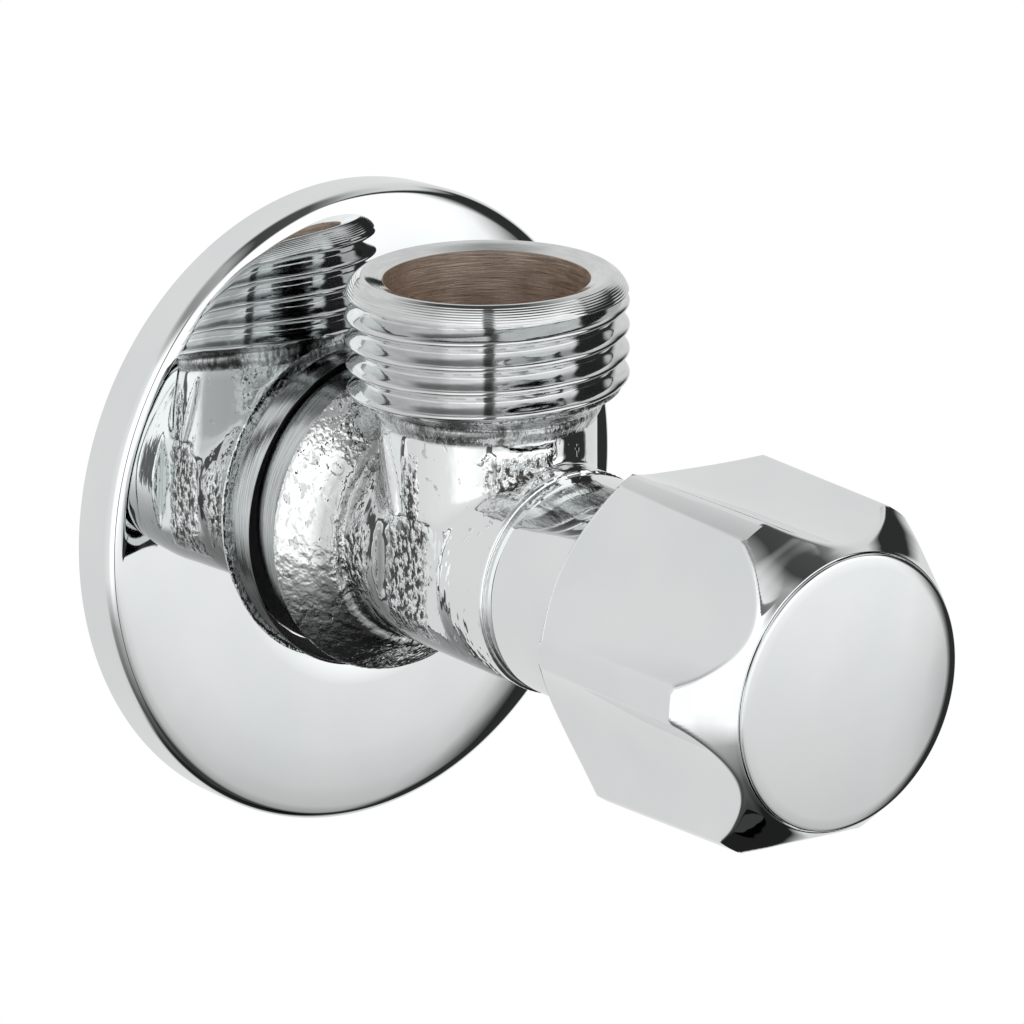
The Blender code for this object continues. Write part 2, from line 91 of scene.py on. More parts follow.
def new_object(name, points, faces, materials, body, sharp=35.0):
    """A smooth shaded piece that rides on a body. Points are in metres in the world frame."""
    mesh = bpy.data.meshes.new(name)
    mesh.from_pydata(points.tolist(), [], faces)
    mesh.validate()
    mesh.shade_smooth()
    mesh.set_sharp_from_angle(angle=radians(sharp))
    for material in materials:
        mesh.materials.append(material)
    obj = bpy.data.objects.new(name, mesh)
    bpy.context.scene.collection.objects.link(obj)
    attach(obj, body)
    return obj


def lathe_faces(rows, steps, solid):
    """Faces between the rows of a lathe, each with the row that it starts from."""
    for row in range(rows - 1 if solid else rows):
        below = (row + 1) % rows
        for step in range(steps):
            ahead = (step + 1) % steps
            corners = [row * steps + step, below * steps + step, below * steps + ahead,
                       row * steps + ahead]
            if solid and row == 0:
                corners = [0, *corners[1:3]]
            elif solid and row == rows - 2:
                corners = [corners[0], (rows - 1) * steps, corners[3]]
            yield row, corners


def lathe(name, outline, materials, body, steps=192, axis=LAID, centre=(0, 0, 0), shape=None,
          angles=None, material_of=None):
    """A closed solid turned about local Z from a closed outline, whose outer side runs downwards.

    shape(angle, radius, height) may change the radius of each point. An outline that starts and
    ends on the axis makes a solid without a hole. material_of(row) picks a face's material.
    """
    angles = np.linspace(0, 2 * pi, steps, endpoint=False) if angles is None else angles
    steps = len(angles)
    outline = np.array(outline, float)
    rows = len(outline)
    radius = np.repeat(outline[:, :1], steps, axis=1)
    height = np.repeat(outline[:, 1:], steps, axis=1)
    turn = np.repeat(angles[None, :], rows, axis=0)
    if shape:
        radius = shape(turn, radius, height)
    points = np.stack([radius * np.cos(turn), radius * np.sin(turn), height], -1).reshape(-1, 3)
    points = points @ np.array(axis).T + np.array(centre)
    solid = outline[0, 0] == 0 and outline[-1, 0] == 0
    faces = list(lathe_faces(rows, steps, solid))
    obj = new_object(name, points, [corners for _, corners in faces], materials, body)
    if solid:
        drop_loose(obj.data)
    if material_of:
        obj.data.polygons.foreach_set("material_index", [material_of(row) for row, _ in faces])
    return obj


def drop_loose(mesh):
    """Takes away the spare points that a solid lathe leaves on its axis."""
    shape = bmesh.new()
    shape.from_mesh(mesh)
    bmesh.ops.delete(shape, geom=[point for point in shape.verts if not point.link_faces],
                     context="VERTS")
    shape.to_mesh(mesh)
    shape.free()


def arc(centre, radius, start, end, count=6):
    """Points on a circle in an outline, from the start to the end angle in degrees."""
    turns = [radians(start + (end - start) * i / (count - 1)) for i in range(count)]
    return [(centre[0] + radius * cos(t), centre[1] + radius * sin(t)) for t in turns]


def run(start, end, count):
    """Evenly spaced outline points from start towards end, with the end left out."""
    start, end = np.array(start), np.array(end)
    return [tuple(start + (end - start) * i / count) for i in range(count)]


# ---------------------------------------------------------------- distance fields

def smooth_min(a, b, blend):
    """Joins two distances, with a fillet about as wide as blend."""
    mix = np.clip(0.5 + 0.5 * (b - a) / blend, 0, 1)
    return b + (a - b) * mix - blend * mix * (1 - mix)


def smooth_max(a, b, blend):
    """Cuts one distance by another, with a rounded edge."""
    return -smooth_min(-a, -b, blend)


def ramp(value, low, high):
    """Rises smoothly from 0 at low to 1 at high."""
    share = np.clip((value - low) / (high - low), 0, 1)
    return share * share * (3 - 2 * share)


def slab(value, low, high):
    """Distance along one direction to the span from low to high."""
    return np.abs(value - (low + high) / 2) - (high - low) / 2


def net_points(values, cells):
    """Each cell's point, in grid steps: the mean of where the field crosses the cell's edges."""
    corners = [(i, j, k) for i in (0, 1) for j in (0, 1) for k in (0, 1)]
    sums, hits = np.zeros((len(cells), 3)), np.zeros(len(cells))
    for first in corners:
        for axis in range(3):
            if first[axis]:
                continue
            offset = np.eye(3, dtype=int)[axis]
            a, b = cells + first, cells + first + offset
            fa, fb = values[tuple(a.T)], values[tuple(b.T)]
            crossed = (fa < 0) != (fb < 0)
            share = np.where(crossed, fa / np.where(crossed, fa - fb, 1), 0)
            sums += (a + share[:, None] * offset) * crossed[:, None]
            hits += crossed
    return sums / hits[:, None]


def net_quads(inside, number):
    """A quad round each grid edge that the surface crosses, facing outwards."""
    quads = []
    for axis in range(3):
        u, v = (axis + 1) % 3, (axis + 2) % 3
        offset, step_u, step_v = np.eye(3, dtype=int)[[axis, u, v]]
        lower = inside[tuple(slice(0, inside.shape[i] - offset[i]) for i in range(3))]
        upper = inside[tuple(slice(offset[i], inside.shape[i]) for i in range(3))]
        for out in (False, True):
            edges = np.argwhere((lower != upper) & (lower == out))
            edges = edges[(edges[:, u] > 0) & (edges[:, v] > 0)]
            ring = [edges, edges - step_u, edges - step_u - step_v, edges - step_v]
            ring = [number[tuple(cell.T)] for cell in (ring if not out else ring[::-1])]
            quads.append(np.stack(ring[::-1], 1))
    return np.concatenate(quads).tolist()


def pull_onto(field, points, reach):
    """Moves points down the field's slope until they lie where it is zero."""
    for _ in range(3):
        value = field(points)
        slope = np.stack([field(points + reach * side) - field(points - reach * side)
                          for side in np.eye(3)], -1) / (2 * reach)
        points = points - slope * (value / np.maximum((slope ** 2).sum(-1), 0.1))[:, None]
    return points


def surface_net(field, low, high, step):
    """Points and quads where field(points) is zero, found on a grid and then moved onto it."""
    counts = np.ceil((np.array(high) - low) / step).astype(int) + 1
    axes = [low[i] + step * np.arange(counts[i]) for i in range(3)]
    grid = np.stack(np.meshgrid(*axes, indexing="ij"), -1)
    values = np.stack([field(sheet.reshape(-1, 3)).reshape(counts[1:]) for sheet in grid])
    inside = values < 0
    total = sum(inside[i:counts[0] - 1 + i, j:counts[1] - 1 + j, k:counts[2] - 1 + k].astype(np.int8)
                for i in (0, 1) for j in (0, 1) for k in (0, 1))
    cells = np.argwhere((total > 0) & (total < 8))
    number = np.full(counts - 1, -1, np.int32)
    number[tuple(cells.T)] = np.arange(len(cells))
    points = np.array(low) + step * net_points(values, cells)
    return pull_onto(field, points, step / 4), net_quads(inside, number)


# ---------------------------------------------------------------- materials

def add(tree, kind, inputs=None, **settings):
    """A node with its settings, and its inputs given as values or as other nodes' outputs."""
    made = tree.nodes.new(kind)
    for name, value in settings.items():
        setattr(made, name, value)
    for name, value in (inputs or {}).items():
        if isinstance(value, bpy.types.NodeSocket):
            tree.links.new(value, made.inputs[name])
        else:
            made.inputs[name].default_value = value
    return made


def maths(tree, operation, *values, clamp=False):
    """A Math node's result."""
    made = add(tree, "ShaderNodeMath", dict(enumerate(values)), operation=operation)
    made.use_clamp = clamp
    return made.outputs[0]


def mixed(tree, share, first, second, blend_type="MIX"):
    """From the first colour to the second by share."""
    return add(tree, "ShaderNodeMixRGB", {0: share, 1: first, 2: second}, blend_type=blend_type).outputs[0]


def ramp_node(tree, value, stops):
    """A colour ramp: stops are (place, grey value or colour)."""
    made = add(tree, "ShaderNodeValToRGB", {"Fac": value})
    elements = made.color_ramp.elements
    while len(elements) < len(stops):
        elements.new(0.5)
    for element, (place, colour) in zip(elements, stops):
        element.position = place
        element.color = (*colour, 1) if isinstance(colour, tuple) else (colour, colour, colour, 1)
    return made.outputs["Color"]


def new_material(name, metallic, colour=None, roughness=None):
    """A Principled material and its tree, shader and object coordinates in millimetres."""
    material = bpy.data.materials.new(name)
    material.use_nodes = True
    tree = material.node_tree
    shader = tree.nodes["Principled BSDF"]
    shader.inputs["Metallic"].default_value = metallic
    if colour:
        shader.inputs["Base Color"].default_value = (*colour, 1)
    if roughness is not None:
        shader.inputs["Roughness"].default_value = roughness
    place = add(tree, "ShaderNodeTexCoord").outputs["Object"]
    place = add(tree, "ShaderNodeVectorMath", {0: place, 3: 1 / MM}, operation="SCALE").outputs[0]
    return material, tree, shader, place


def noise_node(tree, place, scale, detail=2.0, roughness=0.5, stretch=(1, 1, 1), turn=(0, 0, 0)):
    """Noise with scale features per millimetre, stretched along the turned axes."""
    if stretch != (1, 1, 1) or turn != (0, 0, 0):
        place = add(tree, "ShaderNodeMapping", {"Vector": place, "Scale": stretch, "Rotation": turn})
        place = place.outputs[0]
    return add(tree, "ShaderNodeTexNoise", {"Vector": place, "Scale": scale, "Detail": detail,
                                            "Roughness": roughness}).outputs["Fac"]


def bump(tree, shader, height, distance):
    """Raises the surface by height times distance, in millimetres."""
    inputs = {"Height": height, "Distance": distance * MM, "Strength": 1.0}
    made = add(tree, "ShaderNodeBump", inputs).outputs[0]
    tree.links.new(made, shader.inputs["Normal"])


def vary(tree, shader, socket, value, stops):
    """Lets a shader socket follow value through a ramp."""
    tree.links.new(ramp_node(tree, value, stops), shader.inputs[socket])


def smooth_chrome(name, haze=0.04):
    """Bright plated chrome: a mirror with a faint uneven haze and a very shallow waviness."""
    material, tree, shader, place = new_material(name, 1.0)
    cloud = noise_node(tree, place, 0.12, 3.0)
    vary(tree, shader, "Base Color", cloud, [(0.3, (0.80, 0.825, 0.825)), (0.7, (0.85, 0.87, 0.87))])
    specks = noise_node(tree, place, 1.7, 4.0, 0.6)
    vary(tree, shader, "Roughness", specks, [(0.35, haze * 0.7), (0.75, haze * 1.4)])
    bump(tree, shader, noise_node(tree, place, 0.25, 1.0), 0.004)
    return material


def turned_chrome(name, axis_stretch, lines=5.0, depth=0.006, haze=0.10, dark=0.78, light=0.85):
    """Chrome over a turned surface: fine rings round the axis, which is the stretched direction."""
    material, tree, shader, place = new_material(name, 1.0)
    rings = noise_node(tree, place, lines, 3.0, 0.6, axis_stretch)
    vary(tree, shader, "Base Color", rings, [(0.3, (dark, dark * 1.02, dark * 1.02)),
                                             (0.7, (light, light * 1.02, light * 1.02))])
    vary(tree, shader, "Roughness", noise_node(tree, place, 0.6, 3.0),
         [(0.3, haze * 0.7), (0.7, haze * 1.3)])
    bump(tree, shader, rings, depth)
    return material


# Where the forging's skin is rough: middle and half size of each patch in millimetres
FLAT_PATCH = ((-7.7, -18.7, -0.6), (1.0, 2.2, 4.6))     # rear of the wrench flat
BEHIND_PATCH = ((-8.6, -13.2, -0.2), (2.8, 1.5, 3.0))   # barrel behind the flat
RIB_PATCH = ((-8.0, -19.5, 4.4), (0.6, 0.75, 4.4))      # strip beside the parting rib
PAD_PATCH = ((-2.9, -25.9, 7.8), (2.3, 1.3, 1.8))       # blank pad under the threads
CONE_ZONE = ((0.0, -10.2, 0.0), (20.0, 2.2, 20.0))      # cone between the collar and the barrel
PAINTED_SHADE_ZONE = ((-9.0, -13.4, 0.0), (3.5, 2.0, 8.0))     # painted shade all round BEHIND_PATCH: a dark reflection painted into the colour
# The dark chrome colour serves both the pits and the painted shade behind the flat
CLEAN_CHROME, PITTED_AND_SHADED_CHROME = (0.84, 0.86, 0.86, 1), (0.09, 0.09, 0.085, 1)


def patch_mask(tree, place, middle, half, ragged):
    """1 inside a box and 0 outside, with a ragged edge."""
    offset = add(tree, "ShaderNodeVectorMath", {0: place, 1: middle}, operation="SUBTRACT").outputs[0]
    share = add(tree, "ShaderNodeVectorMath", {0: offset, 1: half}, operation="DIVIDE").outputs[0]
    share = add(tree, "ShaderNodeVectorMath", {0: share}, operation="ABSOLUTE").outputs[0]
    sides = add(tree, "ShaderNodeSeparateXYZ", {0: share}).outputs
    reach = maths(tree, "MAXIMUM", maths(tree, "MAXIMUM", sides["X"], sides["Y"]), sides["Z"])
    reach = maths(tree, "MULTIPLY", maths(tree, "ADD", reach, ragged), 0.5)
    return ramp_node(tree, reach, [(0.60, 1.0), (0.80, 0.0)])


def pits_and_painted_shade(tree, place, rough, behind, speckles, stray):
    """Share of the dark colour: speckles in the rough patches and strays, and painted shade by the flat,
    which stands for a dark reflection.
    """
    dark = ramp_node(tree, speckles, [(0.46, 1.0), (0.53, 0.0)])
    dark = maths(tree, "MULTIPLY", dark, rough)
    dark = maths(tree, "MAXIMUM", dark, maths(tree, "MULTIPLY", stray, 0.30))
    # Painted shade: the colour is darkened round the patch behind the flat, in place of a dark reflection
    shaded = maths(tree, "SUBTRACT", patch_mask(tree, place, *PAINTED_SHADE_ZONE, 0.0), behind, clamp=True)
    return maths(tree, "MAXIMUM", dark, maths(tree, "MULTIPLY", shaded, 0.45))


def forged_relief(tree, place, rough, cone, speckles, stray):
    """Height of the forged skin: grain in the patches, orange peel on the cone, waves and pits."""
    grain = maths(tree, "MULTIPLY", speckles, maths(tree, "MULTIPLY", rough, 0.9))
    peel = maths(tree, "MULTIPLY", noise_node(tree, place, 1.1, 2.0), maths(tree, "MULTIPLY", cone, 0.6))
    ripples = maths(tree, "MULTIPLY", noise_node(tree, place, 1.6, 1.0, 0.5, (1.0, 1.0, 0.3)), 0.045)
    waves = maths(tree, "MULTIPLY_ADD", noise_node(tree, place, 0.45, 2.0), 0.10, ripples)
    height = maths(tree, "ADD", grain, maths(tree, "ADD", peel, waves))
    return maths(tree, "ADD", height, maths(tree, "MULTIPLY", stray, -0.05))


def forged_chrome(name):
    """Chrome over a forging: mirror-like stretches, with crisp dark speckles in a few rough patches and
    painted shade round the patch behind the flat.
    """
    material, tree, shader, place = new_material(name, 1.0)
    ragged = noise_node(tree, place, 0.9, 2.0)
    flat, behind, rib, pad = [patch_mask(tree, place, *patch, ragged)
                              for patch in (FLAT_PATCH, BEHIND_PATCH, RIB_PATCH, PAD_PATCH)]
    rough = maths(tree, "MAXIMUM", maths(tree, "MAXIMUM", flat, behind), maths(tree, "MAXIMUM", rib, pad))
    cone = patch_mask(tree, place, *CONE_ZONE, 0.0)
    speckles = noise_node(tree, place, 3.2, 2.0, 0.55, (1.0, 0.8, 0.45), (0.3, 0.1, 0.0))
    pits = noise_node(tree, place, 1.5, 2.0, 0.5, (1.0, 0.8, 0.6))
    pits = maths(tree, "MULTIPLY_ADD", cone, 0.07, pits)
    stray = ramp_node(tree, pits, [(0.66, 0.0), (0.72, 1.0)])
    dark = pits_and_painted_shade(tree, place, rough, behind, speckles, stray)
    colour = mixed(tree, dark, CLEAN_CHROME, PITTED_AND_SHADED_CHROME)
    tree.links.new(colour, shader.inputs["Base Color"])
    vary(tree, shader, "Roughness", rough, [(0.0, 0.035), (1.0, 0.09)])
    bump(tree, shader, forged_relief(tree, place, rough, cone, speckles, stray), 0.30)
    return material


def brushed_chrome(name):
    """Chrome over a band that was filed along the outlet: soft upright streaks."""
    material, tree, shader, place = new_material(name, 1.0)
    streaks = noise_node(tree, place, 2.4, 3.0, 0.6, (1.0, 1.0, 0.22))
    clouds = noise_node(tree, place, 0.5, 2.0, 0.5, (1.0, 1.0, 0.4))
    shade = maths(tree, "MULTIPLY_ADD", clouds, 0.6, maths(tree, "MULTIPLY", streaks, 0.5))
    vary(tree, shader, "Base Color", shade, [(0.42, (0.20, 0.20, 0.195)), (0.58, (0.74, 0.76, 0.76))])
    vary(tree, shader, "Roughness", streaks, [(0.3, 0.13), (0.7, 0.24)])
    bump(tree, shader, streaks, 0.10)
    return material


def bare_bore(name):
    """Brown, unplated brass with the drill's fine rings round the outlet axis."""
    material, tree, shader, place = new_material(name, 1.0)
    rings = noise_node(tree, place, 3.0, 4.0, 0.65, (0.12, 0.12, 2.2))
    cloud = noise_node(tree, place, 0.5, 3.0)
    shade = maths(tree, "MULTIPLY_ADD", cloud, 0.5, maths(tree, "MULTIPLY", rings, 0.5))
    vary(tree, shader, "Base Color", shade, [(0.35, (0.50, 0.405, 0.33)), (0.65, (0.82, 0.695, 0.60))])
    vary(tree, shader, "Roughness", rings, [(0.3, 0.36), (0.7, 0.55)])
    bump(tree, shader, rings, 0.03)
    return material


def plain_metal(name, dark, light, roughness, stretch):
    """Bare turned metal between a dark and a light colour, with fine tool marks."""
    material, tree, shader, place = new_material(name, 1.0)
    rings = noise_node(tree, place, 4.0, 3.0, 0.6, stretch)
    vary(tree, shader, "Base Color", rings, [(0.3, dark), (0.7, light)])
    vary(tree, shader, "Roughness", rings, [(0.3, roughness * 0.8), (0.7, roughness * 1.25)])
    bump(tree, shader, rings, 0.008)
    return material


def soft_plastic(name, dark, light, roughness, grain=0.01):
    """Rubber or plastic between a dark and a light colour, with a fine grain."""
    material, tree, shader, place = new_material(name, 0.0)
    cloud = noise_node(tree, place, 2.0, 4.0, 0.6)
    vary(tree, shader, "Base Color", cloud, [(0.3, dark), (0.7, light)])
    vary(tree, shader, "Roughness", cloud, [(0.3, roughness * 0.85), (0.7, roughness * 1.15)])
    bump(tree, shader, noise_node(tree, place, 9.0, 3.0), grain)
    return material


# ---------------------------------------------------------------- the valve's body

def thread_shape(crest_height, crest_angle, depth, low, high):
    """A right handed thread cut into a turned surface between the heights low and high."""
    def shape(turn, radius, height):
        phase = (height - crest_height) / PITCH - (turn - crest_angle) / (2 * pi)
        share = np.abs(phase - np.round(phase)) * 2
        share = np.clip(np.hypot(share, 0.10) - 0.06, 0, 1)
        groove = depth * np.sin(pi / 2 * share ** 0.82) ** 2
        fade = ramp(height, low - PITCH / 2, low) * (1 - ramp(height, high, high + 0.2 * MM))
        threaded = CREST - groove * fade
        outer = (height > low - PITCH) & (height < high + 0.2 * MM) & (radius > CREST - 1.6 * MM)
        return np.where(outer, np.minimum(radius, threaded), radius)
    return shape


def grooved_chamfer(start, end):
    """The outlet's chamfer: a slightly bulging slope with eight fine turned grooves."""
    grooves, bulge, groove = 8, 0.16 * MM, ((0.0, 0.0), (0.35, 0.014), (0.7, 0.014), (0.98, -0.022))
    points = []
    for index in range(grooves):
        for share, lift in groove:
            at = (index + share) / grooves
            rise = bulge * 4 * at * (1 - at) + lift * MM
            points.append((start[0] + (end[0] - start[0]) * at + rise * 0.8,
                           start[1] + (end[1] - start[1]) * at + rise * 0.6))
    return points


def outlet_outline():
    """The outlet's end: a wide dished rim, a grooved chamfer, the threads and the plain bore.

    Also says which rows are the bore, so that they can be left unplated.
    """
    start, end = (RIM_RADIUS + 0.22 * MM, RIM_EDGE - 0.1 * MM), (10.44 * MM, FIRST_CREST + 0.72 * MM)
    outline = [(OUTLET_BORE + 0.07 * MM, BORE_EDGE + 0.015 * MM)]
    outline += curve_through([(OUTLET_BORE + 0.12 * MM, BORE_EDGE + 0.03 * MM),
                             (8.15 * MM, BORE_EDGE + 0.17 * MM), (8.8 * MM, RIM_EDGE - 0.07 * MM),
                             (RIM_RADIUS, RIM_EDGE), start], 4)
    outline += grooved_chamfer(start, end)
    outline += run((CREST, end[1]), (CREST, OUTLET_FOOT + 0.05 * MM), 110)
    outline += [(CREST - 0.1 * MM, OUTLET_FOOT), (OUTLET_BORE + 0.8 * MM, OUTLET_FOOT)]
    bore_start = len(outline)
    outline += run((OUTLET_BORE, OUTLET_FOOT), (OUTLET_BORE, BORE_EDGE - 0.04 * MM), 24)
    bore_end = len(outline)
    outline += [(OUTLET_BORE, BORE_EDGE - 0.04 * MM), (OUTLET_BORE + 0.04 * MM, BORE_EDGE)]
    return outline, range(bore_start, bore_end + 1)


def make_outlet(chrome, bore):
    """The threaded end of the outlet, with the first crest turned to the camera's side."""
    outline, bore_rows = outlet_outline()
    crest_angle = radians(CAMERA_AZIMUTH)
    shape = thread_shape(FIRST_CREST, crest_angle, THREAD_DEPTH, THREAD_START, THREAD_END)
    obj = lathe("outlet_thread", outline, [chrome, bore], "valve", 320, UPRIGHT,
                (0, -OUTLET_OFFSET, 0), shape, material_of=lambda row: int(row in bore_rows))
    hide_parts("valve_body")


def make_inlet(chrome, bore):
    """The threaded tail that goes into the wall fitting."""
    outline = [(NECK_RADIUS, COLLAR_BACK + 0.8 * MM), (9.3 * MM, COLLAR_BACK + 0.8 * MM)]
    outline += run((9.35 * MM, 0.4 * MM), (9.35 * MM, -0.3 * MM), 4)
    outline += run((CREST, -0.6 * MM), (CREST, INLET_END + 0.6 * MM), 130)
    outline += [(CREST - 0.5 * MM, INLET_END + 0.25 * MM), (9.4 * MM, INLET_END)]
    bore_start = len(outline)
    outline += [(INLET_BORE + 0.3 * MM, INLET_END), (INLET_BORE, INLET_END + 0.3 * MM),
                (INLET_BORE, COLLAR_BACK + 0.8 * MM)]
    shape = thread_shape(INLET_END + 1.2 * MM, 0.0, INLET_THREAD_DEPTH, INLET_END + PITCH, -0.7 * MM)
    obj = lathe("inlet_thread", outline, [chrome, bore], "valve", 256, LAID, (0, 0, 0), shape,
                material_of=lambda row: int(row > bore_start))
    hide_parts("valve_body")


def make_collar(chrome):
    """The turned band that the wall plate fits round."""
    front, inner = COLLAR_FRONT, CHAMBER_RADIUS + 1.2 * MM
    outline = [(inner, front - 0.1 * MM), (COLLAR_RADIUS - 0.3 * MM, front - 0.1 * MM)]
    outline += [(COLLAR_RADIUS - 0.02 * MM, front - 0.2 * MM)]
    lines, cut_depth = 34, 0.012 * MM
    for index in range(lines):
        height = front - 0.25 * MM - (front - COLLAR_BACK - 0.5 * MM) * index / lines
        cut = cut_depth * noise.noise((0.0, 7.3, index * 0.71))
        outline.append((COLLAR_RADIUS - 0.015 * MM + min(cut, 0.01 * MM), height))
    outline += [(COLLAR_RADIUS - 0.25 * MM, COLLAR_BACK), (inner, COLLAR_BACK)]
    obj = lathe("collar_band", outline, [chrome], "valve", 256)
    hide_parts("valve_body")


def make_neck(chrome):
    """The smooth turned end of the body, which goes in under the knob."""
    outline = [(CHAMBER_RADIUS, NECK_END), (NECK_RADIUS - 0.3 * MM, NECK_END)]
    outline += [(NECK_RADIUS, NECK_END - 0.3 * MM)]
    outline += run((NECK_RADIUS, NECK_END - 0.6 * MM), (NECK_RADIUS, SEAM_HEIGHT + 0.7 * MM), 24)
    groove = [(-0.01, 0.4), (-0.04, 0.3), (-0.05, 0.15), (-0.05, 0.0), (-0.12, -1.2)]
    outline += [(NECK_RADIUS + r * MM, SEAM_HEIGHT + h * MM) for r, h in groove]
    outline += [(CHAMBER_RADIUS, SEAM_HEIGHT - 1.2 * MM)]
    obj = lathe("front_neck", outline, [chrome], "valve", 256)
    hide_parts("valve_body")


def rib_lift(turned, z):
    """Height of the leaf-shaped parting rib on the outlet's left side, which leans forwards downwards."""
    foot, length, half_width, rise = 3.0 * MM, 7.4 * MM, 0.62 * MM, 0.32 * MM
    middle = radians(-105) + radians(2.0) * (10 * MM - z) / MM
    half = half_width * np.clip(np.sin(pi * np.clip((z - foot) / length, 0, 1)), 0.02, 1)
    away = (turned - middle) * OUTLET_NECK / half
    return rise * np.clip(1 - away ** 2, 0, 1) * ramp(z, foot, foot + 0.6 * MM)


def pad_lift(turned, z):
    """Height of the blank raised pad below the threads, whose lower edge climbs to the right."""
    first, last = radians(-37), radians(-4)
    bottom, climb, top, rise = 6.0 * MM, 1.5 * MM, 9.9 * MM, 0.17 * MM
    lower = bottom + climb * (turned - first) / (last - first)
    sides = np.minimum(turned - first, last - turned) * OUTLET_NECK
    inset = np.minimum(sides, np.minimum(z - lower, top - z))
    return rise * ramp(inset, 0, 0.3 * MM)


def barrel_field(x, z, out):
    """Distance to the barrel, with its chamfer at the seam and the cone up to the collar."""
    radial = np.hypot(x, z)
    barrel = np.maximum(np.hypot(x + 0.1 * MM, z) - BARREL_RADIUS, slab(out, 7 * MM, SEAM_HEIGHT))
    chamfer = radial + (out - SEAM_HEIGHT + 0.08 * MM) * 0.9 - BARREL_RADIUS
    barrel = smooth_max(barrel, chamfer, 0.1 * MM)
    cone = (radial - (COLLAR_RADIUS - 0.08 * MM - (out - COLLAR_FRONT) * 0.80)) * 0.8
    band = smooth_max(cone, slab(out, COLLAR_FRONT - MM, 11.8 * MM), 0.3 * MM)
    return smooth_min(barrel, band, 0.4 * MM)


def column_field(x, y, z):
    """Distance to the outlet's neck, with the rib and the pad on it."""
    across = np.hypot(x, y + OUTLET_OFFSET)
    turned = np.arctan2(x, -y - OUTLET_OFFSET)
    lift = rib_lift(turned, z) + pad_lift(turned, z)
    return np.maximum(across - OUTLET_NECK - lift, slab(z, 0, 12.4 * MM))


def under_thread_field(x, y, z):
    """Distance to the filed band below the threads, which flares out to meet them."""
    across = np.hypot(x, y + OUTLET_OFFSET)
    under = across - 8.12 * MM - 0.36 * MM * ramp(z, 10.5 * MM, 11.5 * MM)
    under = under - 1.5 * np.clip(z - 11.8 * MM, 0, None)
    under = np.maximum(under * 0.6, across - CREST + 0.12 * MM)
    return smooth_max(under, slab(z, 10.7 * MM, 12.95 * MM), 0.4 * MM)


def flat_field(x, z, out):
    """Distance to the space that the two wrench flats take from the barrel's sides."""
    slant = 0.07
    flat = np.maximum(slab(out, FLAT_NEAR, FLAT_FAR), np.abs(z) - FLAT_HALF_WIDTH)
    return np.maximum(flat, FLAT_DISTANCE - (out - 19.5 * MM) * slant - np.abs(x))


def forging_field(points):
    """Distance to the forged middle of the body: band, barrel, outlet neck and flats."""
    x, y, z = points.T
    out = -y
    body = smooth_min(barrel_field(x, z, out), column_field(x, y, z), 0.6 * MM)
    body = smooth_min(body, under_thread_field(x, y, z), 0.3 * MM)
    return smooth_max(body, -flat_field(x, z, out), 0.15 * MM)


def hollow_field(points):
    """Distance to the water way inside the forging."""
    x, y, z = points.T
    out = -y
    radial = np.hypot(x, z)
    chamber = np.maximum(radial - CHAMBER_RADIUS, CHAMBER_FLOOR - out)
    lip = np.maximum(slab(radial, SEAT_INNER, SEAT_OUTER), out - SEAT_HEIGHT)
    chamber = np.maximum(chamber, -lip)
    inlet = np.where(out < SEAT_HEIGHT - 3.2 * MM, INLET_BORE, SEAT_INNER)
    way = np.minimum(chamber, np.maximum(radial - inlet, out - SEAT_HEIGHT - MM))
    widening = np.clip((z - OUTLET_FOOT) / (0.8 * MM), 0, 1)
    passage = OUTLET_PASSAGE + widening * (OUTLET_BORE - OUTLET_PASSAGE)
    upright = np.hypot(x, y + OUTLET_OFFSET) - passage
    return np.minimum(way, np.maximum(upright, -z))


def roughness_field(points):
    """How deep the forged skin's folds and dents are at each point."""
    depth = np.zeros(len(points))
    for index, point in enumerate(points / MM):
        at = Vector(point)
        fold = noise.noise(Vector((at.x * 0.9, at.y * 0.9, at.z * 0.55)))
        fine = noise.noise(at * 2.1)
        depth[index] = 0.5 + 0.5 * fold + 0.35 * fine
    return depth


def sunk_skin(points, hollow):
    """Points moved in towards the valve axis by the forged skin's dents, but not in the water way."""
    deepest = 0.016
    rough = deepest * (1 - ramp(points[:, 2], 10.5 * MM, 11.7 * MM))
    rough = rough * ramp(SEAM_HEIGHT + points[:, 1], 0.2 * MM, 1.5 * MM)
    inward = points * (0, 1, 0) - points
    inward /= np.maximum(np.linalg.norm(inward, axis=1), MM)[:, None]
    sink = np.where(hollow, 0, rough * roughness_field(points)) * MM
    return points + inward * sink[:, None]


def make_forging(chrome, bore, brushed):
    """The forged middle of the body, bare inside and filed below the threads."""
    def field(points):
        return np.maximum(forging_field(points), -hollow_field(points))
    low = np.array((-12.5, -30.8, -12.5)) * MM
    high = np.array((12.5, -6.6, 13.6)) * MM
    points, quads = surface_net(field, low, high, NET_STEP)
    hollow = hollow_field(points) < 0.12 * MM
    points = sunk_skin(points, hollow)
    obj = new_object("body_forging", points, quads, [chrome, bore, brushed], "valve", 50)
    corners = np.array(quads)
    bare = hollow[corners].all(axis=1)
    filed = (points[:, 2] > FILED_FROM)[corners].all(axis=1) & ~bare
    obj.data.polygons.foreach_set("material_index", (bare + 2 * filed).astype(int).tolist())
    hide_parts("valve_body")


# ---------------------------------------------------------------- wall plate and knob

def curve_through(points, count):
    """A smooth run of outline points through the given ones, with the last left out."""
    points = np.array(points, float)
    gaps = np.linalg.norm(np.diff(points, axis=0), axis=1) ** 0.5
    knots = np.concatenate([[0], np.cumsum(gaps)])
    slopes = np.gradient(points, knots, axis=0)
    result = []
    for index, gap in enumerate(gaps):
        for share in np.linspace(0, 1, count, endpoint=False):
            a, b = points[index], points[index + 1]
            u, v = slopes[index] * gap, slopes[index + 1] * gap
            step = share * share * (3 - 2 * share)
            bend = share * (1 - share) * ((1 - share) * u - share * v)
            result.append(tuple(a + (b - a) * step + bend))
    return result


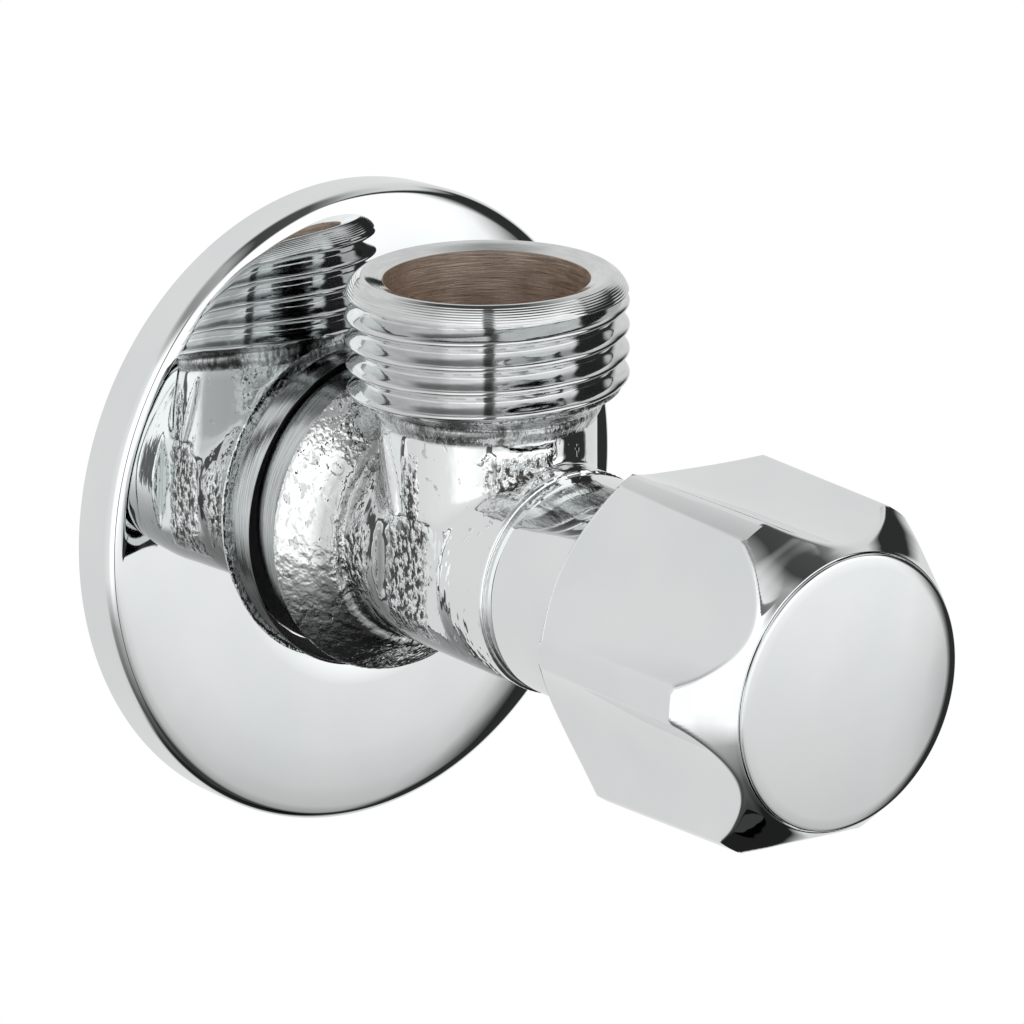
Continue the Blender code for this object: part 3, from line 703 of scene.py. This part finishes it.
def rolled_edge():
    """The plate's face and rim, from the hole out to the skirt, built up from its changing slope."""
    # Slope in degrees at the start and the end of each stretch, and its length in millimetres
    bends = [(0, 0.6, 5.0), (0.6, 2.6, 3.2), (2.6, 5, 1.6), (5, 12, 0.5), (12, 45, 0.38), (45, 90, 1.0)]
    pieces = 8
    points = [(0.0, 0.0)]
    for first, last, length in bends:
        for index in range(pieces):
            slope = radians(first + (last - first) * (index + 0.5) / pieces)
            step = length * MM / pieces
            points.append((points[-1][0] + step * cos(slope), points[-1][1] - step * sin(slope)))
    shift = PLATE_RADIUS - points[-1][0]
    return [(radius + shift, PLATE_FACE + height) for radius, height in points]


def make_plate(chrome):
    """The wall plate: a shallow pressed cup, with a slightly domed face that rolls over into its skirt.

    It hangs loose on the collar, so it sits a little low and a little askew.
    """
    inner = PLATE_RADIUS - PLATE_SHEET
    back = PLATE_FACE - PLATE_SHEET
    edge = 0.25 * MM
    outline = arc((PLATE_HOLE + edge, PLATE_FACE - edge), edge, 180, 90, 5)
    rolled = rolled_edge()
    outline += rolled
    outline += run((PLATE_RADIUS, rolled[-1][1] - 0.1 * MM), (PLATE_RADIUS, 0.1 * MM), 4)
    outline += [(PLATE_RADIUS - 0.02 * MM, 0.02 * MM), (PLATE_RADIUS - 0.1 * MM, 0), (inner, 0)]
    outline += curve_through([(inner, 0.4 * MM), (inner - 0.1 * MM, back - 1.9 * MM),
                              (inner - 0.9 * MM, back - 0.7 * MM), (inner - 2.4 * MM, back - 0.2 * MM),
                              (inner - 6 * MM, back)], 3)
    outline += [(PLATE_HOLE + 0.05 * MM, back)]
    seat = Matrix.Rotation(radians(PLATE_TURN), 3, "Z") @ Matrix.Rotation(radians(PLATE_LEAN), 3, "X")
    obj = lathe("wall_plate", outline, [chrome], "valve", 320, np.array(seat) @ LAID,
                (PLATE_SIDE, 0, -PLATE_DROP))
    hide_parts("wall_rosette")


def knob_shape(turn, radius, height):
    """Cuts six concave sides into the knob's outer rows, leaving narrow lands between them."""
    share = (height - LAND_BACK) / (LAND_FRONT - LAND_BACK)
    land = LAND_RADIUS_BACK + (LAND_RADIUS_FRONT - LAND_RADIUS_BACK) * share
    half_land = np.radians(3.7 + 1.8 * share)
    dip = (1.2 + 0.1 * share) * MM
    half_chord = land * np.sin(KNOB_SECTOR / 2 - half_land)
    apothem = land * np.cos(KNOB_SECTOR / 2 - half_land)
    curve = (half_chord ** 2 + dip ** 2) / (2 * dip)
    centre = apothem - dip + curve
    offset = (turn - radians(FIRST_LAND)) % KNOB_SECTOR - KNOB_SECTOR / 2
    along = centre * np.cos(offset)
    side = along - np.sqrt(np.maximum(curve ** 2 - (centre * np.sin(offset)) ** 2, 0))
    outer = radius > KNOB_CAVITY + 0.3 * MM
    return np.where(outer, smooth_min(radius, side, 0.22 * MM), radius)


def knob_angles():
    """Evenly spaced angles round the knob, with one on the middle of every land."""
    count = 56
    return radians(FIRST_LAND) + KNOB_SECTOR * np.arange(6 * count) / count


def make_knob(chrome):
    """The knob's shell: a domed front round the cap, six sides, and a web on the splined adapter."""
    opening = CAP_RADIUS + 0.04 * MM
    outline = [(opening, KNOB_FRONT - 0.06 * MM), (opening + 0.05 * MM, KNOB_FRONT)]
    dome = [(9.95, 58.17), (10.2, 57.8), (10.8, 57.1), (11.4, 56.45), (12.0, 55.8), (12.94, 54.6)]
    outline += curve_through([(r * MM, h * MM) for r, h in dome], 9)
    outline += run((LAND_RADIUS_FRONT, LAND_FRONT), (LAND_RADIUS_BACK, LAND_BACK), 34)
    outline += run((LAND_RADIUS_BACK, LAND_BACK), (KNOB_CAVITY + 0.75 * MM, KNOB_BACK), 30)
    outline += [(KNOB_CAVITY + 0.72 * MM, KNOB_BACK), (KNOB_CAVITY + 0.1 * MM, KNOB_BACK)]
    outline += [(KNOB_CAVITY, KNOB_BACK + 0.1 * MM), (KNOB_CAVITY, 50.3 * MM), (8.8 * MM, 50.9 * MM)]
    outline += [(5.5 * MM, 50.9 * MM), (5.5 * MM, 53.0 * MM), (8.5 * MM, 53.0 * MM)]
    outline += [(8.5 * MM, CAP_SEAT), (opening, CAP_SEAT)]
    obj = lathe("knob_body", outline, [chrome], "knob", axis=LAID, shape=knob_shape,
                angles=knob_angles())
    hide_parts("knob_shell")


def make_cap(chrome):
    """The knob's plain cap: a slightly domed face with a small round corner, and a hollow back."""
    rows, rise = 14, 0.14 * MM
    outline = [(CAP_RADIUS * 0.97 * i / rows, CAP_EDGE + 0.1 * MM - rise * (i / rows) ** 2)
               for i in range(rows + 1)]
    corner = (CAP_RADIUS - CAP_CORNER, CAP_EDGE - 0.20 * MM)
    outline += arc(corner, CAP_CORNER, 80, 0, 6)
    outline += [(CAP_RADIUS, 57.25 * MM), (8.25 * MM, 57.25 * MM), (8.25 * MM, 55.6 * MM),
                (7.4 * MM, 55.6 * MM), (7.4 * MM, 57.9 * MM), (0, 57.9 * MM)]
    obj = lathe("knob_disc", outline, [chrome], "knob", 256)
    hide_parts("knob_cap")


# ---------------------------------------------------------------- studio

def make_camera():
    """A long lens, turned towards the valve and rolled a little."""
    data = bpy.data.cameras.new("camera")
    data.lens = CAMERA_LENS
    data.sensor_width = CAMERA_SENSOR
    data.clip_start = 0.01
    camera = bpy.data.objects.new("camera", data)
    azimuth, elevation = radians(CAMERA_AZIMUTH), radians(CAMERA_ELEVATION)
    back = Vector((sin(azimuth) * cos(elevation), -cos(azimuth) * cos(elevation), sin(elevation)))
    right = Vector((cos(azimuth), sin(azimuth), 0))
    up = back.cross(right)
    turn = Matrix((right, up, back)).transposed() @ Matrix.Rotation(radians(CAMERA_ROLL), 3, "Z")
    camera.matrix_world = Matrix.Translation(CAMERA_PLACE) @ turn.to_4x4()
    bpy.context.scene.collection.objects.link(camera)
    bpy.context.scene.camera = camera


def make_floor():
    """A pale floor below the valve, hidden from the camera and from reflections."""
    material, tree, shader, place = new_material("floor", 0.0, roughness=0.6)
    vary(tree, shader, "Base Color", noise_node(tree, place, 0.01), [(0.3, 0.86), (0.7, 0.9)])
    bpy.ops.mesh.primitive_plane_add(size=FLOOR_SIZE, location=(0, 0, FLOOR_HEIGHT))
    floor = bpy.context.active_object
    floor.name = "floor"
    floor.data.materials.append(material)
    floor.visible_glossy = False
    floor.visible_camera = False


def at(degrees):
    """Where a bearing from the front lies on a ramp."""
    return 0.5 + degrees / 360


def up(degrees):
    """Where a height above the horizon lies on a ramp."""
    return 0.5 + degrees / 180


def panels_round(tree, bearing, height):
    """Brightness by bearing: wide panels in front, with a dark gap at their left and right ends."""
    left = [(at(-180), 0.80), (at(-125), 0.78), (at(-82), 0.88), (at(-72), 1.2), (at(-57), 1.2),
            (at(-42), 1.15), (at(-41), 0.12), (at(-32.5), 0.12), (at(-31.5), 1.0), (at(46), 1.0),
            (at(50), 0.03)]
    low = ramp_node(tree, bearing, left + [(at(84), 0.03), (at(90), 0.78), (at(180), 0.80)])
    middle = ramp_node(tree, bearing, left + [(at(106), 0.03), (at(116), 0.78), (at(180), 0.80)])
    top = ramp_node(tree, bearing, left + [(at(58), 0.07), (at(68), 0.75), (at(180), 0.80)])
    above_low = ramp_node(tree, height, [(up(0), 0.0), (up(8), 1.0)])
    above_middle = ramp_node(tree, height, [(up(26), 0.0), (up(36), 1.0)])
    return mixed(tree, above_middle, mixed(tree, above_low, low, middle), top)


def panels_by_height(tree, bearing, height):
    """Brightness by height: darker towards the ground, most of all in front."""
    in_front = ramp_node(tree, bearing, [(at(-60), 0.0), (at(-45), 1.0), (at(48), 1.0), (at(54), 0.0)])
    at_left = ramp_node(tree, bearing, [(at(-122), 0.0), (at(-106), 1.0), (at(-50), 1.0),
                                        (at(-40), 0.0)])
    behind = ramp_node(tree, height, [(0.0, 0.02), (up(-66), 0.02), (up(-54), 0.95), (up(0), 1.0)])
    beside = ramp_node(tree, height, [(0.0, 0.02), (up(-60), 0.10), (up(-34), 0.35), (up(-20), 1.0)])
    ahead = ramp_node(tree, height, [
        (0.0, 0.05), (up(-56), 0.05), (up(-46), 0.27), (up(-34), 0.45), (up(-26), 0.62),
        (up(-22), 0.76), (up(-18), 0.93), (up(-8), 1.25), (1.0, 1.25)])
    return mixed(tree, in_front, mixed(tree, at_left, behind, beside), ahead)


def ceiling_panels(tree, across):
    """Brightness overhead along X: a grey panel, a dark gap and a brighter panel."""
    sideways = maths(tree, "MULTIPLY_ADD", across, 0.5, 0.5)
    return ramp_node(tree, sideways, [(0.0, 0.25), (0.30, 0.32), (0.42, 0.42), (0.52, 0.06),
                                      (0.68, 0.08), (0.80, 0.50), (1.0, 0.60)])


def make_world():
    """A pale studio of bright panels and dark gaps, which the camera itself sees as plain white."""
    world = bpy.data.worlds.new("studio")
    bpy.context.scene.world = world
    world.use_nodes = True
    tree = world.node_tree
    tree.nodes.clear()
    direction = add(tree, "ShaderNodeTexCoord").outputs["Generated"]
    parts = add(tree, "ShaderNodeSeparateXYZ", {0: direction}).outputs
    forward = maths(tree, "MULTIPLY", parts["Y"], -1.0)
    bearing = maths(tree, "ARCTAN2", parts["X"], forward)
    bearing = maths(tree, "MULTIPLY_ADD", bearing, 0.5 / pi, 0.5)
    height = maths(tree, "MULTIPLY_ADD", maths(tree, "ARCSINE", parts["Z"]), 1 / pi, 0.5)
    light = mixed(tree, 1.0, panels_round(tree, bearing, height),
                  panels_by_height(tree, bearing, height), "MULTIPLY")
    overhead = ramp_node(tree, height, [(up(43), 0.0), (up(60), 1.0)])
    light = mixed(tree, overhead, light, ceiling_panels(tree, parts["X"]))
    seen = add(tree, "ShaderNodeLightPath").outputs["Is Camera Ray"]
    light = mixed(tree, seen, light, (1, 1, 1, 1))
    background = add(tree, "ShaderNodeBackground", {"Color": light, "Strength": 1.0})
    add(tree, "ShaderNodeOutputWorld", {"Surface": background.outputs[0]})


def dress_cad_nodes():
    """Materials for the pieces whose CAD shape is shown as it is."""
    brass = plain_metal("turned_brass", (0.50, 0.36, 0.16), (0.72, 0.56, 0.30), 0.25, (0.2, 2.5, 0.2))
    steel = plain_metal("stainless_steel", (0.42, 0.42, 0.41), (0.60, 0.60, 0.59), 0.28, (1, 1, 1))
    rubber = soft_plastic("black_rubber", (0.012, 0.012, 0.012), (0.03, 0.03, 0.03), 0.55, 0.02)
    seal = soft_plastic("white_seal", (0.78, 0.78, 0.75), (0.88, 0.88, 0.86), 0.45)
    nylon = soft_plastic("knob_plastic", (0.70, 0.70, 0.66), (0.80, 0.80, 0.77), 0.4)
    finishes = {
        brass: ("bonnet", "spindle", "disc_carrier"),
        steel: ("retaining_ring", "washer_plate", "washer_screw", "knob_screw"),
        rubber: ("rosette_grip_ring", "bonnet_oring", "spindle_oring_lower", "spindle_oring_upper",
                 "carrier_oring", "seat_washer"),
        seal: ("inlet_seal_ring", "thrust_washer"),
        nylon: ("knob_insert",),
    }
    for material, names in finishes.items():
        for name in names:
            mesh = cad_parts[name].data
            mesh.materials.clear()
            mesh.materials.append(material)


make_camera()
make_floor()
make_world()
bpy.context.scene.view_settings.view_transform = "Standard"

mirror = smooth_chrome("mirror_chrome", 0.02)
satin = smooth_chrome("knob_chrome", 0.03)
forged = forged_chrome("forged_chrome")
# The collar's chrome is painted dark (0.30 to 0.60) as a painted reflection of the dark plate beside it;
# its fine rings are tool marks
ringed_painted_reflection = turned_chrome("turned_chrome", (0.05, 2.2, 0.05), dark=0.30, light=0.60)
threaded = turned_chrome("thread_chrome", (0.15, 0.15, 2.0), 3.0, 0.006, 0.08, dark=0.64, light=0.76)
brown = bare_bore("bare_brass_bore")

make_plate(mirror)
make_collar(ringed_painted_reflection)
make_forging(forged, brown, brushed_chrome("brushed_chrome"))
make_neck(satin)
make_outlet(threaded, brown)
make_inlet(threaded, brown)
make_knob(satin)
make_cap(satin)
dress_cad_nodes()
